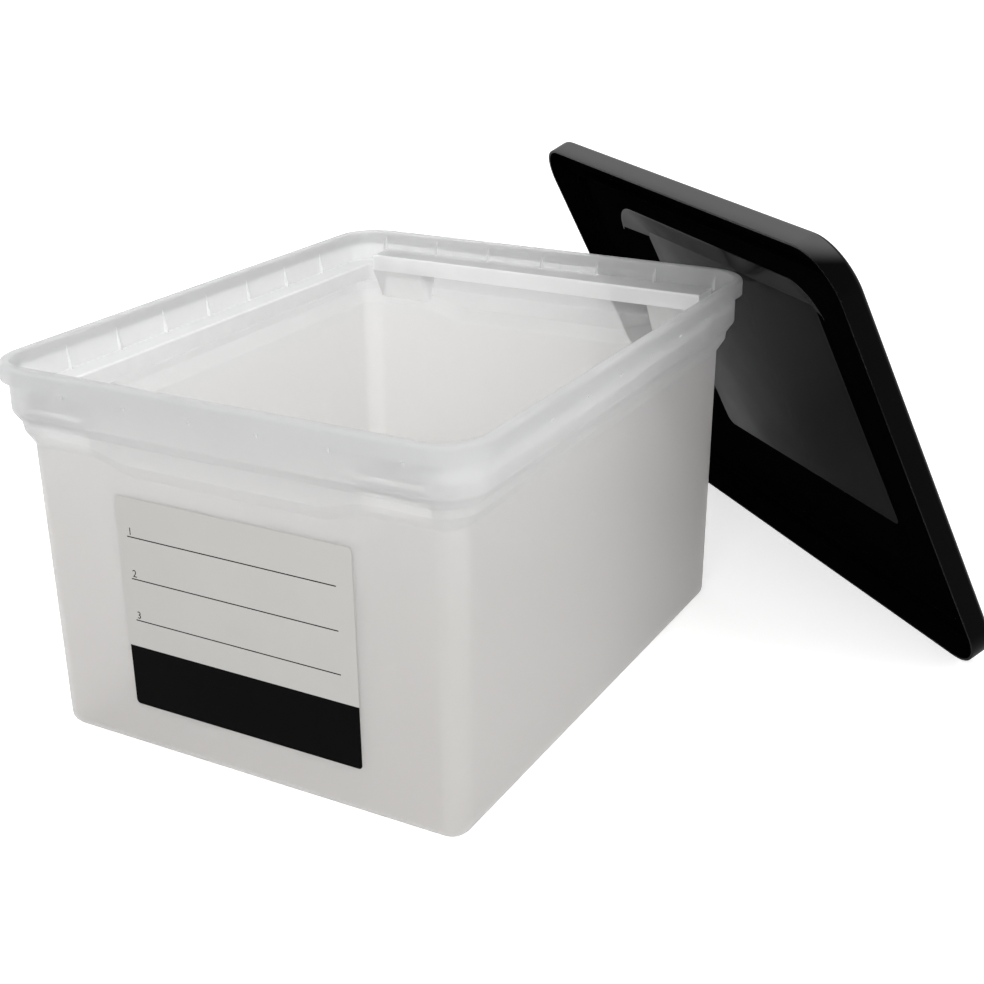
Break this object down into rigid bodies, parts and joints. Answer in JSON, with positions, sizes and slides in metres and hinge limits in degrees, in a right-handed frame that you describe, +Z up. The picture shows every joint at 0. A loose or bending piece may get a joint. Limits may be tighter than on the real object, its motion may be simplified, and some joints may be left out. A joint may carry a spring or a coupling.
{
  "type": "portable file box",
  "caption": "Open translucent plastic file tote with moulded rails for hanging folders, a write-on label, and a black lid leaning against one corner of its rim.",
  "frame": {"origin": "centre of the tote's base, on the surface it stands on", "axes": "+X along the short labelled wall, +Y along the long walls away from the label, +Z up"},
  "size_m": [0.5814, 0.6916, 0.3412],
  "materials": {
    "milky_plastic": "translucent polypropylene, satin",
    "black_plastic": "opaque black polypropylene, satin with a fine texture",
    "label_paper": "matt paper with a printed black band and ruled lines"
  },
  "bodies": {
    "tote": {"tote_body": "milky_plastic", "label": "label_paper"},
    "lid": {"lid": "black_plastic"}
  },
  "joints": [
    {"name": "lid_lift", "type": "slide", "parent": "tote", "child": "lid", "axis": [0, 0, 1], "range_m": [0, 0.3]}
  ]
}
